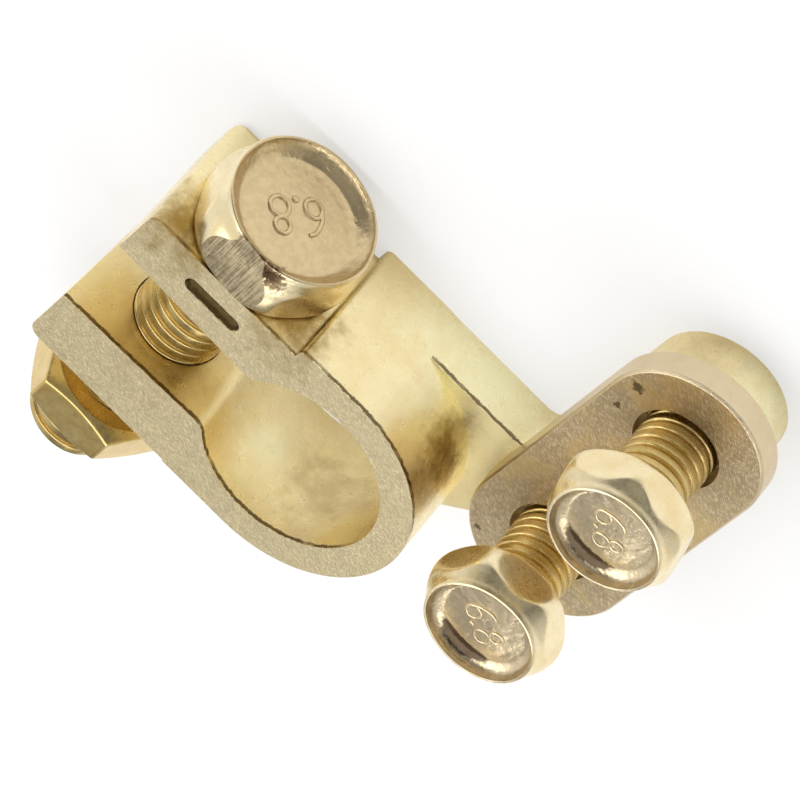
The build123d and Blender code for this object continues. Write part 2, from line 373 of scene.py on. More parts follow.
def rounded_copy(name, node, width):
    """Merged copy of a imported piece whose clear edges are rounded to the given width."""
    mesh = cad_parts[node].data.copy()
    mesh.name = name
    piece = bpy.data.objects.new(name, mesh)
    bpy.context.scene.collection.objects.link(piece)
    work = bmesh.new()
    work.from_mesh(mesh)
    bmesh.ops.remove_doubles(work, verts=work.verts, dist=2e-6)
    bmesh.ops.dissolve_limit(work, angle_limit=FLAT_UP_TO, verts=work.verts, edges=work.edges)
    work.to_mesh(mesh)
    work.free()
    mesh.shade_smooth()
    mesh.set_sharp_from_angle(angle=ROUNDED_FROM)
    bevel = piece.modifiers.new("edge rounding", "BEVEL")
    bevel.width = width
    bevel.segments = 2
    bevel.limit_method = "ANGLE"
    bevel.angle_limit = ROUNDED_FROM
    bevel.harden_normals = True
    bevel.use_clamp_overlap = True
    bevel.miter_outer = "MITER_ARC"
    return piece


casting = rounded_copy("cast_body", "clamp_body", CASTING_EDGE)
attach(casting, "body")
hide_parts("clamp_body")
plate = rounded_copy("cable_plate", "cable_saddle", PLATE_EDGE)
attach(plate, "saddle")
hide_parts("cable_saddle")
print("casting faces", len(casting.data.polygons), "plate faces", len(plate.data.polygons))

# %% [markdown]
# ## The clamp bolt's head
# The big bolt draws the two ears together. Its uppermost side is ground off near the level of the casting's
# top, with the head a few degrees round from level. The head is built whole, then cut by that plane, and the
# cut is filled flat. Stations are (radius, height) in millimetres, with 0 on the side that meets the ear.

# %% Clamp bolt's head
BOLT_FLATS = 16 * MM
BOLT_HEAD = 6.9 * MM
BOLT_NUMERALS = 4.2 * MM
BOLT_OUTSIDE = [
    (7.70, 0.0), (8.10, 0.25), (8.46, 0.9), (8.62, 1.9), (8.62, 3.1), (8.42, 4.1),
    (8.08, 5.0), (7.96, 5.8), (7.92, 6.35), (7.84, 6.72), (7.70, 6.88),
]
BOLT_INSIDE = [
    (7.70, 6.88), (7.52, 6.84), (7.40, 6.62), (7.15, 6.30), (6.75, 5.92), (6.35, 5.60),
    (6.05, 5.44), (5.50, 5.38), (4.00, 5.44), (2.00, 5.54), (0.0, 5.58),
]
GROUND_CREASE = 32
LEAN = math.radians(7)
GROUND_FROM_AXIS = 7.75 * MM
GROUND_WAY = (-math.sin(LEAN), 0.0, math.cos(LEAN))
GROUND_REACH = BOLT_AXIS[0] * GROUND_WAY[0] + BOLT_AXIS[1] * GROUND_WAY[2] + GROUND_FROM_AXIS


def ground_flat(piece, place, way):
    """Cuts a closed piece by the plane through a place, square to a way, and closes the cut flat."""
    work = bmesh.new()
    work.from_mesh(piece.data)
    everything = work.verts[:] + work.edges[:] + work.faces[:]
    cut = bmesh.ops.bisect_plane(
        work, geom=everything, dist=1e-8, plane_co=place, plane_no=way, clear_outer=True
    )
    rim = [e for e in cut["geom_cut"] if isinstance(e, bmesh.types.BMEdge)]
    bmesh.ops.holes_fill(work, edges=rim, sides=0)
    work.to_mesh(piece.data)
    work.free()
    piece.data.set_sharp_from_angle(angle=math.radians(GROUND_CREASE))


bolt_place = (BOLT_AXIS[0], bolt_high[1] - BOLT_HEAD, BOLT_AXIS[1])
grid = head_grid(BOLT_FLATS, BOLT_OUTSIDE, BOLT_INSIDE, turn=math.radians(80), seed=0.7)
grids = [(grid, False)] + six_point_eight(BOLT_NUMERALS, math.radians(225), floor_of(BOLT_INSIDE))
marks = {"dish": dish_marks(BOLT_INSIDE, grids)}
bolt_head = surface("clamp_bolt_head", grids, HEAD_CREASE, ALONG_Y, bolt_place, marks)
ground_flat(bolt_head, [GROUND_REACH * part for part in GROUND_WAY], GROUND_WAY)
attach(bolt_head, "bolt")
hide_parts("clamp_bolt")
print("clamp bolt's head", len(bolt_head.data.polygons), "faces")

# %% [markdown]
# ## The clamp bolt's thread
# The thread starts inside the head, so that no gap shows under it. Its crests have the radius of the packed
# cylinder, and its grooves are cut into that.

# %% Clamp bolt's thread
BOLT_THREAD = {"crest": 4.9 * MM, "pitch": 1.5 * MM, "depth": 0.42 * MM, "tip": 0.9 * MM}

bolt_length = bolt_place[1] - bolt_low[1]
grid, groove = thread_grid(**BOLT_THREAD, length=bolt_length, start=0.1)
marks = {"groove": groove}
bolt_thread = surface("clamp_bolt_thread", [(grid, False)], THREAD_CREASE, ALONG_Y, bolt_place, marks)
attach(bolt_thread, "bolt")
print("clamp bolt", round(bolt_length / MM, 1), "mm under the head")

# %% [markdown]
# ## The nut
# A chamfered hexagon nut is the smaller of two shapes, a hexagonal bar and a double cone. The profile runs
# from the bore over the seat, up the side, across the top and back down the bore, so it closes on itself.

# %% Nut
NUT = {"across_flats": 15 * MM, "bore": 4.98 * MM, "washer": 7.05 * MM, "chamfer": 1.75}
NUT_BLEND = 0.14 * MM
NUT_SINK = 0.55 * MM
NUT_COLUMNS = 288
NUT_ROWS = 48
NUT_CREASE = 60


def nut_grid(across_flats, bore, washer, chamfer, height, turn):
    """Closed grid of a nut: radius = soft minimum of the hexagon and a cone that opens from both faces."""
    angle = np.linspace(0, 2 * math.pi, NUT_COLUMNS, endpoint=False)[None, :]
    level = height * (0.5 - 0.5 * np.cos(np.linspace(0, math.pi, NUT_ROWS))[:, None])
    cone = washer + np.minimum(level, height - level) * chamfer
    side = soft_min(hexagon_radius(angle, across_flats, turn), cone + 0 * angle, NUT_BLEND)
    seat = bore + (side[:1] - bore) * np.linspace(0, 1, 8)[1:-1, None]
    crown = side[-1:] + (bore + NUT_SINK - side[-1:]) * np.linspace(0, 1, 8)[1:, None]
    wall = np.linspace(height - NUT_SINK, NUT_SINK, 12)[:, None] + 0 * angle
    radius = np.concatenate([seat, side, crown, bore + 0 * wall])
    levels = np.concatenate([0 * seat, level + 0 * angle, height + 0 * crown, wall])
    return turned(radius, levels, angle)


nut_height = nut_high[1] - nut_low[1]
nut_place = (BOLT_AXIS[0], nut_high[1], BOLT_AXIS[1])
grid = nut_grid(**NUT, height=nut_height, turn=math.radians(93))
nut = surface("clamp_nut_hex", [(grid, True)], NUT_CREASE, ALONG_MINUS_Y, nut_place)
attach(nut, "nut")
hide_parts("clamp_nut")
print("nut", round(nut_height / MM, 1), "mm high")

# %% [markdown]
# ## The two cable screws
# They press the plate down on the cable. Both are the same screw, each turned by chance to its own angle.
# Dirt and painted shade darken the corner of the dish, so their amount is kept with the points as a second
# mark.

# %% Cable screws
SCREW_FLATS = 13 * MM
SCREW_HEAD = 5.3 * MM
SCREW_NUMERALS = 3.4 * MM
SCREW_OUTSIDE = [
    (6.30, 0.0), (6.62, 0.22), (7.00, 0.7), (7.20, 1.5), (7.18, 2.4), (6.95, 3.2),
    (6.55, 3.85), (6.22, 4.45), (6.02, 4.95), (5.90, 5.18), (5.76, 5.28),
]
SCREW_INSIDE = [
    (5.76, 5.28), (5.60, 5.22), (5.50, 4.90), (5.40, 4.50), (5.12, 4.15), (4.70, 3.92),
    (4.20, 3.82), (3.20, 3.88), (1.60, 4.00), (0.0, 4.04),
]
SCREW_THREAD = {"crest": 3.95 * MM, "pitch": 1.25 * MM, "depth": 0.36 * MM, "tip": 0.8 * MM}
DARK_CORNER_REACH, DARK_CORNER_WIDTH = 4.55 * MM, 0.85 * MM
SCREWS = [
    # end, turn of the hexagon, turn of the numerals, seed of the forging's wave
    ("near", math.radians(98), math.radians(322), 1.9),
    ("far", math.radians(77), math.radians(300), 4.1),
]
for end, turn, figures_turn, seed in SCREWS:
    low, high = corners("cable_screw_" + end)
    middle = (low + high) / 2
    place = (middle[0], middle[1], high[2] - SCREW_HEAD)
    grid = head_grid(SCREW_FLATS, SCREW_OUTSIDE, SCREW_INSIDE, turn, seed)
    grids = [(grid, False)] + six_point_eight(SCREW_NUMERALS, figures_turn, floor_of(SCREW_INSIDE))
    dish = dish_marks(SCREW_INSIDE, grids)
    marks = {"dish": dish, "dirt_and_shade": corner_dirt_and_shade(grids, dish, DARK_CORNER_REACH, DARK_CORNER_WIDTH)}
    head = surface("cable_screw_head_" + end, grids, HEAD_CREASE, ALONG_Z, place, marks)
    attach(head, end + "_screw")
    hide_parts("cable_screw_" + end)
    grid, groove = thread_grid(**SCREW_THREAD, length=place[2] - low[2], start=0.2 * seed)
    marks = {"groove": groove}
    thread = surface("cable_screw_thread_" + end, [(grid, False)], THREAD_CREASE, ALONG_Z, place, marks)
    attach(thread, end + "_screw")
    print(end, "screw head underside at", round(place[2] / MM, 2), "mm")

# %% [markdown]
# ## Materials from nodes
# A finish is built from a few small parts: coordinates in millimetres, noise at one size, a ramp between two
# values, and a bump. Helpers for them keep each material short enough to read as a list of what is seen.

# %% Node helpers
class Finish:
    """A material, metal unless told otherwise, with helpers that add nodes to its tree."""

    def __init__(self, name, metallic=1.0):
        self.material = bpy.data.materials.new(name)
        self.material.use_nodes = True
        self.nodes = self.material.node_tree.nodes
        self.links = self.material.node_tree.links
        self.shader = self.nodes["Principled BSDF"]
        self.shader.inputs["Metallic"].default_value = metallic
        self.coordinates = self.nodes.new("ShaderNodeTexCoord").outputs

    def feed(self, socket, value):
        """Gives a socket a value, which is another socket, a number or a row of numbers."""
        if isinstance(value, bpy.types.NodeSocket):
            self.links.new(value, socket)
        else:
            socket.default_value = value

    def mapped(self, sizes, turn=0.0):
        """Object coordinates turned about Z, then divided by a size in metres for each turned axis."""
        mapping = self.nodes.new("ShaderNodeMapping")
        mapping.vector_type = "TEXTURE"
        mapping.inputs["Scale"].default_value = sizes
        mapping.inputs["Rotation"].default_value = (0, 0, turn)
        self.links.new(self.coordinates["Object"], mapping.inputs["Vector"])
        return mapping.outputs["Vector"]

    def noise(self, size, detail, rough=0.5, stretch=(1, 1, 1), turn=0.0):
        """Noise from 0 to 1 whose blobs are about size metres, longer along an axis by its stretch."""
        node = self.nodes.new("ShaderNodeTexNoise")
        node.inputs["Scale"].default_value = 1.0
        node.inputs["Detail"].default_value = detail
        node.inputs["Roughness"].default_value = rough
        self.links.new(self.mapped([size * s for s in stretch], turn), node.inputs["Vector"])
        return node.outputs["Fac"]

    def cells(self, size):
        """Distance from the nearest point of a random set whose points are about size metres apart."""
        node = self.nodes.new("ShaderNodeTexVoronoi")
        node.inputs["Scale"].default_value = 1.0
        self.links.new(self.mapped([size] * 3), node.inputs["Vector"])
        return node.outputs["Distance"]

    def ramp(self, value, low, high, start=0.0, end=1.0):
        """Smooth step: start below low, end above high, eased between them."""
        node = self.nodes.new("ShaderNodeMapRange")
        node.interpolation_type = "SMOOTHSTEP"
        node.inputs["From Min"].default_value = low
        node.inputs["From Max"].default_value = high
        node.inputs["To Min"].default_value = start
        node.inputs["To Max"].default_value = end
        self.links.new(value, node.inputs["Value"])
        return node.outputs["Result"]

    def maths(self, kind, a, b):
        """One step of arithmetic on two values."""
        node = self.nodes.new("ShaderNodeMath")
        node.operation = kind
        self.feed(node.inputs[0], a)
        self.feed(node.inputs[1], b)
        return node.outputs["Value"]

    def plus(self, a, b):
        """Sum of two values."""
        return self.maths("ADD", a, b)

    def times(self, a, b):
        """Product of two values."""
        return self.maths("MULTIPLY", a, b)

    def vector(self, kind, a, b):
        """One step of arithmetic on two places or directions. A dot product or a distance is one value."""
        node = self.nodes.new("ShaderNodeVectorMath")
        node.operation = kind
        self.feed(node.inputs[0], a)
        self.feed(node.inputs[1], b)
        return node.outputs["Vector" if kind == "MULTIPLY" else "Value"]

    def mix(self, factor, a, b):
        """Colour a where the factor is 0, b where it is 1. A colour is a socket or three numbers."""
        node = self.nodes.new("ShaderNodeMix")
        node.data_type = "RGBA"
        self.links.new(factor, node.inputs[0])
        for colour, socket in ((a, node.inputs[6]), (b, node.inputs[7])):
            self.feed(socket, (*colour, 1) if isinstance(colour, tuple) else colour)
        return node.outputs[2]

    def axis(self, name, kind="Object"):
        """One axis of the object coordinates, or of the surface's own direction with kind Normal."""
        node = self.nodes.new("ShaderNodeSeparateXYZ")
        self.links.new(self.coordinates[kind], node.inputs["Vector"])
        return node.outputs[name]

    def mark(self, name):
        """Values kept with the points of a mesh under a name, such as groove or dish."""
        node = self.nodes.new("ShaderNodeAttribute")
        node.attribute_name = name
        return node.outputs["Fac"]

    def bump(self, height, distance, after=None):
        """Bump whose height from 0 to 1 stands for a real distance in metres, on top of the one before."""
        node = self.nodes.new("ShaderNodeBump")
        node.inputs["Distance"].default_value = distance
        node.inputs["Strength"].default_value = 1.0
        self.links.new(height, node.inputs["Height"])
        if after is not None:
            self.links.new(after, node.inputs["Normal"])
        return node.outputs["Normal"]

    def wear(self, colour, roughness, normal):
        """Links what was worked out to the shader."""
        for value, name in ((colour, "Base Color"), (roughness, "Roughness"), (normal, "Normal")):
            self.links.new(value, self.shader.inputs[name])
        return self.material


print("node helpers ready")

# %% [markdown]
# ## Masks
# A mask is a value from 0 to 1 that says where something shows. The surface's own direction tells a brushed
# top from a cast wall, a coordinate tells where an edge runs, and the distance from a place makes a spot.
# Noise moves every border in and out, so that wear, dirt and the painted light and shade never end in a clean
# line.

# %% Masks
RAGGEDNESS = 1.8
WIDE_EDGE = (0.90, 2.10)
SHARP_EDGE = (1.15, 1.60)
SHARPER_EDGE = (1.15, 1.45)


def upward(finish):
    """1 on faces that look up, 0 elsewhere."""
    return finish.ramp(finish.axis("Z", "Normal"), 0.90, 0.97)


def brushed_mask(finish, height):
    """1 on faces that look up at or above the height, 0 elsewhere."""
    high = finish.ramp(finish.axis("Z"), height - 0.1 * MM, height - 0.02 * MM)
    return finish.times(upward(finish), high)


def within(finish, axis, low, high):
    """1 between two values of an axis, 0 outside."""
    middle, half = (low + high) / 2, (high - low) / 2
    off = finish.maths("ABSOLUTE", finish.maths("SUBTRACT", finish.axis(axis), middle), 0.0)
    return finish.maths("LESS_THAN", off, half)


def scratches(finish, turn):
    """Sparse short strokes in two directions over a fine mottle, from 0 to about 1."""
    one = finish.ramp(finish.noise(0.11 * MM, 3.0, 0.6, (8, 1, 1), turn), 0.42, 0.68)
    two = finish.ramp(finish.noise(0.13 * MM, 3.0, 0.6, (5, 1, 1), turn + 0.9), 0.44, 0.72)
    mottle = finish.ramp(finish.noise(0.35 * MM, 4.0, 0.65), 0.30, 0.70)
    strokes = finish.plus(finish.times(one, 0.35), finish.times(two, 0.25))
    return finish.plus(strokes, finish.times(mottle, 0.40))


def edge_dirt_and_shade(finish, height):
    """Thin line of dirt and painted shade on upright walls that face +Y, just below an edge at the given
    height, broken by noise.
    """
    shake = finish.ramp(finish.noise(1.0 * MM, 5.0, 0.7), 0.3, 0.7, -0.10 * MM, 0.10 * MM)
    level = finish.plus(finish.axis("Z"), shake)
    below = finish.ramp(level, height - 0.56 * MM, height - 0.38 * MM)
    above = finish.ramp(level, height - 0.08 * MM, height - 0.02 * MM, 1.0, 0.0)
    facing = finish.ramp(finish.axis("Y", "Normal"), 0.1, 0.5)
    broken = finish.ramp(finish.noise(2.5 * MM, 3.0, 0.6), 0.30, 0.50, 0.55, 0.9)
    return finish.times(finish.times(finish.times(below, above), facing), broken)


def spot(finish, place, radius, ragged, edge):
    """Spot around a place: 1 inside, 0 outside, with its edge moved in and out by noise.

    A place with two coordinates stands for a spot that goes down through the piece.
    """
    here = finish.coordinates["Object"]
    if len(place) == 2:
        here = finish.vector("MULTIPLY", here, (1, 1, 0))
        place = (*place, 0)
    away = finish.maths("DIVIDE", finish.vector("DISTANCE", here, place), radius)
    return finish.ramp(finish.plus(away, finish.times(ragged, RAGGEDNESS)), *edge, 1.0, 0.0)


def spotted(finish, colour, spots, ragged, edge, shade):
    """Colour that turns to a shade in spots given as (place, radius, strength)."""
    for place, radius, strength in spots:
        here = spot(finish, place, radius, ragged, edge)
        colour = finish.mix(finish.times(here, strength), colour, shade)
    return colour


print("masks ready")

# %% [markdown]
# ## Cast brass with a brushed top
# The casting's walls are as they left the mould: satin, with shallow waves, fine pits and small cracks. Its
# top was sawn off and brushed, which leaves a duller, greyer face with fine scratches. One material can hold
# both, because the surface's own direction tells them apart: up and at the top height means brushed. Spots of
# painted light make some walls paler, and spots of painted shade make others darker. A dark line under the
# edges is part dirt and part painted shade, and the sunk mark is dark with dirt and painted shade.

# %% Cast brass
CAST_STROKES = math.radians(-35)
CAST_SHADES = ((0.97, 0.845, 0.51), (0.91, 0.755, 0.41))
CAST_BRUSHED_SHADES = ((0.62, 0.52, 0.32), (0.80, 0.70, 0.45))
PIT_SHADE = (0.40, 0.28, 0.12)
CRACK_SHADE = (0.34, 0.23, 0.09)
PAINTED_LIGHT_TONE = (1.0, 0.95, 0.62)
PAINTED_SHADE_TONE = (0.34, 0.22, 0.06)
TOP_EDGE_DIRT_AND_SHADE = (0.10, 0.06, 0.025)
FLANK_EDGE_DIRT_AND_SHADE = (0.16, 0.10, 0.04)
MARK_DIRT_AND_SHADE_TONES = ((0.07, 0.05, 0.018), (0.20, 0.145, 0.06))


def pits_and_cracks(finish):
    """Two masks: 0 in small pits that come in groups and 1 off them, and 1 in sparse short cracks."""
    off_pit = finish.ramp(finish.cells(0.6 * MM), 0.04, 0.22)
    grouped = finish.ramp(finish.noise(1.6 * MM, 2.0), 0.52, 0.62)
    pits = finish.maths("MAXIMUM", off_pit, finish.maths("SUBTRACT", 1.0, grouped))
    cracks = finish.ramp(finish.noise(0.16 * MM, 2.0, 0.6, (5, 1, 1), 0.8), 0.66, 0.74)
    return pits, cracks


def flank_dirt_and_shade(finish):
    """The line of dirt and painted shade along the arm's straight flank, which is the plane Y = 13.2 mm."""
    flank = finish.times(within(finish, "Y", 13.1 * MM, 13.4 * MM), within(finish, "X", 2 * MM, 22 * MM))
    return finish.times(edge_dirt_and_shade(finish, ARM_TOP), flank)


def sunk_mark(finish, mark):
    """0.9 deep in the sunk mark, fading out just under the top face."""
    (left, near), (right, far) = mark
    inside = finish.times(within(finish, "X", left, right), within(finish, "Y", near, far))
    return finish.times(inside, finish.ramp(finish.axis("Z"), TOP - 0.35 * MM, TOP - 0.02 * MM, 0.9, 0.0))


def cast_brass(name, mark, painted_shade, painted_light):
    """Satin cast brass with pits, a brushed top, painted light and shade in spots, and dirt with painted shade
    along edges and in the mark.
    """
    finish = Finish(name)
    brushed = brushed_mask(finish, TOP)
    strokes = scratches(finish, CAST_STROKES)
    pits, cracks = pits_and_cracks(finish)
    ragged = finish.noise(2.0 * MM, 3.0, 0.6)

    patches = finish.ramp(finish.noise(5 * MM, 3.0, 0.55), 0.30, 0.70)
    brushed_colour = finish.mix(finish.ramp(strokes, 0.20, 0.75), *CAST_BRUSHED_SHADES)
    colour = finish.mix(brushed, finish.mix(patches, *CAST_SHADES), brushed_colour)
    colour = finish.mix(finish.ramp(pits, 0.2, 0.8, 0.30, 0.0), colour, PIT_SHADE)
    colour = finish.mix(finish.times(cracks, 0.35), colour, CRACK_SHADE)
    # Painted light: pale spots where the walls should catch more light.
    colour = spotted(finish, colour, painted_light, ragged, WIDE_EDGE, PAINTED_LIGHT_TONE)
    # Dark line under the edges: part dirt, part painted shade of the rounded edge.
    colour = finish.mix(edge_dirt_and_shade(finish, TOP), colour, TOP_EDGE_DIRT_AND_SHADE)
    colour = finish.mix(flank_dirt_and_shade(finish), colour, FLANK_EDGE_DIRT_AND_SHADE)
    # Painted shade: dark spots beside the bolt's head, in the slot, in the ring's corner, in the bore and on
    # the base.
    colour = spotted(finish, colour, painted_shade, ragged, WIDE_EDGE, PAINTED_SHADE_TONE)
    # Inside the sunk mark: dirt and painted shade in the recess.
    mark_dirt_and_shade = finish.mix(finish.noise(0.4 * MM, 3.0), *MARK_DIRT_AND_SHADE_TONES)
    colour = finish.mix(sunk_mark(finish, mark), colour, mark_dirt_and_shade)

    arm_top = finish.times(upward(finish), within(finish, "Z", ARM_TOP - 0.1 * MM, ARM_TOP + 0.1 * MM))
    rough = finish.ramp(finish.noise(1.5 * MM, 3.0, 0.6), 0.3, 0.7, 0.26, 0.34)
    rough = finish.plus(rough, finish.times(brushed, 0.20))
    rough = finish.plus(rough, finish.times(arm_top, 0.20))

    waves = finish.bump(finish.noise(3.0 * MM, 2.0, 0.5), 0.05 * MM)
    skin = finish.bump(finish.noise(0.45 * MM, 4.0, 0.6), 0.012 * MM, after=waves)
    lines = finish.bump(finish.times(strokes, brushed), 0.03 * MM, after=skin)
    holes = finish.bump(finish.maths("SUBTRACT", pits, cracks), 0.02 * MM, after=lines)
    return finish.wear(colour, rough, holes)


MARK = ((-20.2 * MM, 7.8 * MM), (-12.6 * MM, 9.8 * MM))
# Spots of painted light on the bore, the arm's flank and the base's end: place, radius, strength.
PAINTED_LIGHT_SPOTS = [
    ((-1.4 * MM, -9.9 * MM, 8.6 * MM), 4.0 * MM, 0.90),
    ((8.0 * MM, 13.2 * MM, 2.5 * MM), 12.0 * MM, 0.90),
    ((27.0 * MM, 38.8 * MM, 3.0 * MM), 7.0 * MM, 0.80),
]
# Spots of painted shade: place, radius, strength.
PAINTED_SHADE_SPOTS = [
    ((9.2 * MM, 9.4 * MM, 10.0 * MM), 4.6 * MM, 1.00),
    ((17.6 * MM, 39.2 * MM, 3.5 * MM), 5.0 * MM, 0.35),
    ((-23.2 * MM, 12.0 * MM, 13.8 * MM), 5.5 * MM, 0.95),
    ((-9.6 * MM, 12.0 * MM, 13.2 * MM), 5.0 * MM, 0.90),
    ((-15.0 * MM, -5.2 * MM, 11.5 * MM), 6.0 * MM, 0.40),
    ((1.6 * MM, -9.6 * MM, 6.5 * MM), 3.5 * MM, 0.22),
    ((5.0 * MM, -8.2 * MM, 8.6 * MM), 5.5 * MM, 0.42),
]
cast = cast_brass("cast_brass_brushed_top", MARK, PAINTED_SHADE_SPOTS, PAINTED_LIGHT_SPOTS)
casting.data.materials.clear()
casting.data.materials.append(cast)
print("finish:", cast.name)

# %% [markdown]
# ## Brushed plate
# The cable plate is cut from rolled bar. It is a little redder than the casting, its upper face is brushed,
# and handling has left golden clouds and dark stains on it.

# %% Brushed plate
PLATE_STROKES = math.radians(-38)
PLATE_SIDE_SHADES = ((0.70, 0.56, 0.35), (0.79, 0.66, 0.45))
PLATE_BRUSHED_SHADES = ((0.46, 0.36, 0.22), (0.73, 0.60, 0.40))
PLATE_GOLD_SHADE = (0.66, 0.49, 0.22)
PLATE_STAIN_SHADE = (0.07, 0.045, 0.02)


def brushed_plate(name, top, stains):
    """Brushed brass bar with satin sides, golden clouds and dark stains."""
    finish = Finish(name)
    brushed = brushed_mask(finish, top)
    strokes = scratches(finish, PLATE_STROKES)
    clouds = finish.ramp(finish.noise(7 * MM, 2.0, 0.5), 0.48, 0.62, 0.0, 0.55)
    face = finish.mix(finish.ramp(strokes, 0.25, 0.72), *PLATE_BRUSHED_SHADES)
    face = finish.mix(clouds, face, PLATE_GOLD_SHADE)
    colour = finish.mix(brushed, finish.mix(finish.noise(2 * MM, 3.0), *PLATE_SIDE_SHADES), face)
    soil = finish.noise(0.5 * MM, 5.0, 0.75)
    colour = spotted(finish, colour, stains, soil, SHARPER_EDGE, PLATE_STAIN_SHADE)
    rough = finish.ramp(finish.noise(1.2 * MM, 4.0, 0.65), 0.3, 0.7, 0.28, 0.38)
    rough = finish.plus(rough, finish.times(brushed, 0.12))
    skin = finish.bump(finish.noise(0.5 * MM, 3.0, 0.6), 0.010 * MM)
    lines = finish.bump(strokes, 0.03 * MM, after=skin)
    return finish.wear(colour, rough, lines)


STAINS = [
    ((15.7 * MM, 34.5 * MM), 1.6 * MM, 0.8),
    ((15.8 * MM, 30.7 * MM), 0.9 * MM, 0.8),
    ((17.0 * MM, 4.0 * MM), 0.8 * MM, 0.8),
]
plate_finish = brushed_plate("brushed_plate_brass", saddle_high[2], STAINS)
plate.data.materials.clear()
plate.data.materials.append(plate_finish)
print("finish:", plate_finish.name)

# %% [markdown]
# ## Plated screws
# Bolts and nut have a thin bright plating over the forged surface. Smooth facets mirror the room; dishes are
# a little rougher and duller, with dirt and painted shade in their corner, and painted shade makes grooves
# of threads darker than crests. The plating differs from piece to piece, from pale on the heads to golden
# on nut and threads, so the same recipe takes three shades: pale, deep and dish. Grinding took the plating
# off the bolt's flat and left dark burrs beside it.

# %% Plated brass
GROOVE_PAINTED_SHADE = (0.20, 0.12, 0.03)
BURR_SHADE = (0.10, 0.05, 0.02)
DIRT_AND_SHADE_TONE = (0.045, 0.025, 0.012)
GROUND_SHADES = ((0.23, 0.18, 0.10), (0.54, 0.45, 0.29))


def ground_face(finish, colour, rough, skin, way, reach):
    """The same surface, but ground on the flat at a reach along a way: duller, with fine lines along Y."""
    along = finish.vector("DOT_PRODUCT", finish.coordinates["Object"], way)
    flat = finish.ramp(along, reach - 0.06 * MM, reach - 0.03 * MM)
    lines = finish.noise(0.17 * MM, 3.0, 0.6, (1, 22, 1), math.radians(2))
    mottle = finish.noise(0.5 * MM, 3.0, 0.6)
    both = finish.plus(finish.times(lines, 0.7), finish.times(mottle, 0.3))
    colour = finish.mix(flat, colour, finish.mix(finish.ramp(both, 0.36, 0.62), *GROUND_SHADES))
    rough = finish.plus(rough, finish.times(flat, 0.26))
    return colour, rough, finish.bump(finish.times(lines, flat), 0.03 * MM, after=skin)


def plated_brass(name, shades, burrs=(), ground=None):
    """Bright wavy plating, a duller dish, painted shade in grooves, dirt and shade in corners, burrs and a
    ground flat if given.
    """
    finish = Finish(name)
    pale, deep, dish = shades
    in_dish = finish.mark("dish")
    soil = finish.noise(0.5 * MM, 5.0, 0.75)

    colour = finish.mix(finish.ramp(finish.noise(3 * MM, 3.0, 0.6), 0.35, 0.7), pale, deep)
    worn = tuple(0.90 * part for part in dish)
    floor_colour = finish.mix(finish.ramp(finish.noise(0.8 * MM, 4.0, 0.65), 0.35, 0.65), dish, worn)
    colour = finish.mix(in_dish, colour, floor_colour)
    # Painted shade in the thread's grooves.
    colour = finish.mix(finish.ramp(finish.mark("groove"), 0.60, 1.0, 0.0, 0.7), colour, GROOVE_PAINTED_SHADE)
    colour = spotted(finish, colour, burrs, soil, SHARP_EDGE, BURR_SHADE)
    # Dish corner: dirt and painted shade.
    dirt_and_shade = finish.plus(finish.mark("dirt_and_shade"), finish.times(soil, 0.6))
    colour = finish.mix(finish.ramp(dirt_and_shade, 0.66, 0.90, 0.0, 0.93), colour, DIRT_AND_SHADE_TONE)

    rough = finish.ramp(finish.noise(0.8 * MM, 4.0, 0.65), 0.3, 0.7, 0.24, 0.34)
    rough = finish.plus(rough, finish.times(in_dish, 0.03))

    dents = finish.bump(finish.times(finish.noise(1.3 * MM, 3.0, 0.55), in_dish), 0.14 * MM)
    waves = finish.bump(finish.noise(2.2 * MM, 2.0, 0.5), 0.035 * MM, after=dents)
    skin = finish.bump(finish.noise(0.25 * MM, 3.0, 0.6), 0.004 * MM, after=waves)
    if ground:
        colour, rough, skin = ground_face(finish, colour, rough, skin, *ground)
    finish.shader.inputs["Coat Weight"].default_value = 0.12
    finish.shader.inputs["Coat Roughness"].default_value = 0.12
    return finish.wear(colour, rough, skin)


BURRS = [
    ((-19.0 * MM, 18.6 * MM, 16.3 * MM), 1.3 * MM, 0.85),
    ((-17.8 * MM, 18.6 * MM, 16.4 * MM), 1.7 * MM, 0.85),
    ((-16.6 * MM, 18.5 * MM, 16.5 * MM), 2.0 * MM, 0.85),
    ((-15.4 * MM, 18.1 * MM, 16.4 * MM), 2.6 * MM, 0.85),
    ((-14.4 * MM, 17.5 * MM, 16.1 * MM), 2.7 * MM, 0.85),
]
HEAD_SHADES = ((0.93, 0.80, 0.51), (0.85, 0.70, 0.40), (0.72, 0.565, 0.32))
SCREW_SHADES = ((0.91, 0.78, 0.50), (0.84, 0.68, 0.38), (0.73, 0.60, 0.39))
GOLDEN_SHADES = ((0.75, 0.57, 0.24), (0.66, 0.47, 0.16), (0.66, 0.47, 0.16))
# A darker copy of the golden plating: painted shade for the threads in the slot and under the far head.
THREAD_TONES_WITH_PAINTED_SHADE = ((0.67, 0.50, 0.21), (0.55, 0.39, 0.13), (0.55, 0.39, 0.13))
bolt_finish = plated_brass("plated_brass_bolt", HEAD_SHADES, BURRS, (GROUND_WAY, GROUND_REACH))
screw_finish = plated_brass("plated_brass_screws", SCREW_SHADES)
golden_finish = plated_brass("plated_brass_golden", GOLDEN_SHADES)
thread_finish_with_painted_shade = plated_brass("plated_brass_thread_painted_shade", THREAD_TONES_WITH_PAINTED_SHADE)
print("plated finishes made")

# %% [markdown]
# ## Who wears what
# One table says which plating each piece has. The near screw's thread is as golden as the nut, and the two
# other threads wear a darker copy of that plating, which is painted shade.

